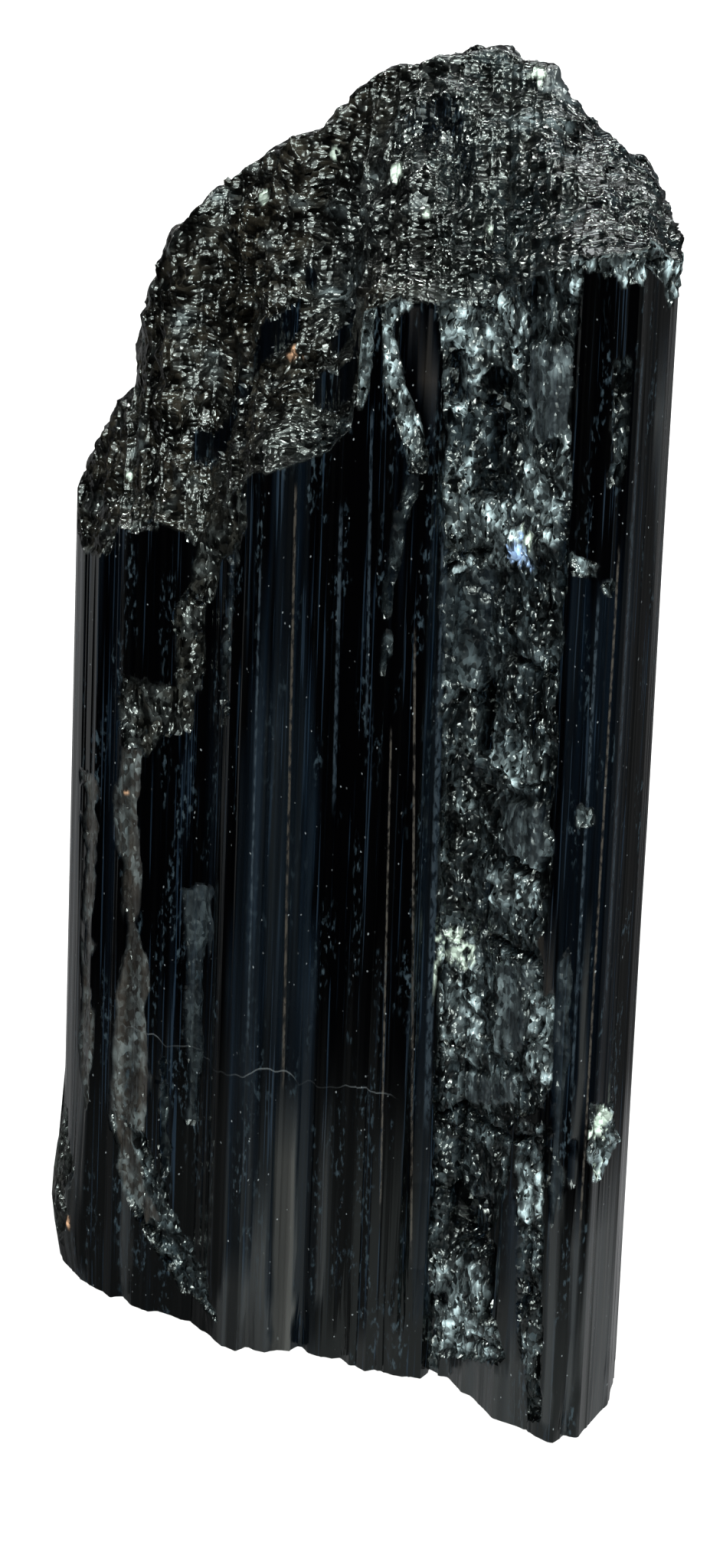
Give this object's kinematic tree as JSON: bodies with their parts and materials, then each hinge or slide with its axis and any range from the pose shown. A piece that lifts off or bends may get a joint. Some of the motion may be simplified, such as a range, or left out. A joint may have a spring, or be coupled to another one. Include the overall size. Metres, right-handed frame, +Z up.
{
  "type": "tourmaline crystal",
  "caption": "Black tourmaline (schorl) prism, ribbed lengthwise, with a rough slanting break across its top and a flat foot that it stands on.",
  "frame": {"origin": "middle of the bounding box, on the flat foot", "axes": "+Z up the prism, +X to the viewer's right, -Y towards the viewer of the front"},
  "size_m": [0.0478, 0.0386, 0.1116],
  "materials": {
    "schorl": "glossy black ribbed faces, rough sparkling grey-brown breaks"
  },
  "bodies": {
    "root": {"crystal": "schorl"}
  },
  "joints": []
}
